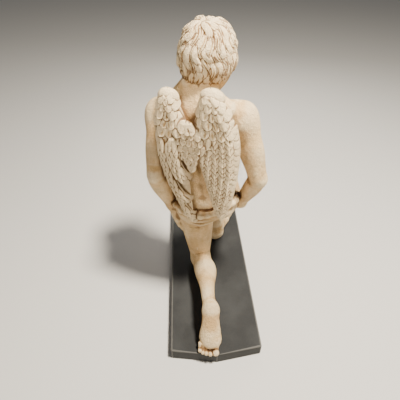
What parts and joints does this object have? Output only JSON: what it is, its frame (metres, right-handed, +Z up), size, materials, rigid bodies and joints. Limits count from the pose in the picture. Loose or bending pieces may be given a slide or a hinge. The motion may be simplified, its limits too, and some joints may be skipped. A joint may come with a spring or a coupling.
{
  "type": "kneeling cupid statue",
  "caption": "Carved stone statue of a winged boy kneeling on his left knee, wings folded down his back, on a long low plinth.",
  "frame": {"origin": "middle of the plinth's underside", "axes": "+Z up, -Y the way the figure faces, +X the figure's own left"},
  "size_m": [0.446, 0.944, 1.1927],
  "materials": {
    "cast_stone": "warm buff cast stone with a fine stipple and brown dirt in the hollows",
    "dark_paint": "dark grey satin painted stone slab with pale worn edges"
  },
  "bodies": {
    "root": {"cupid_figure": "cast_stone", "plinth": "dark_paint"}
  },
  "joints": []
}
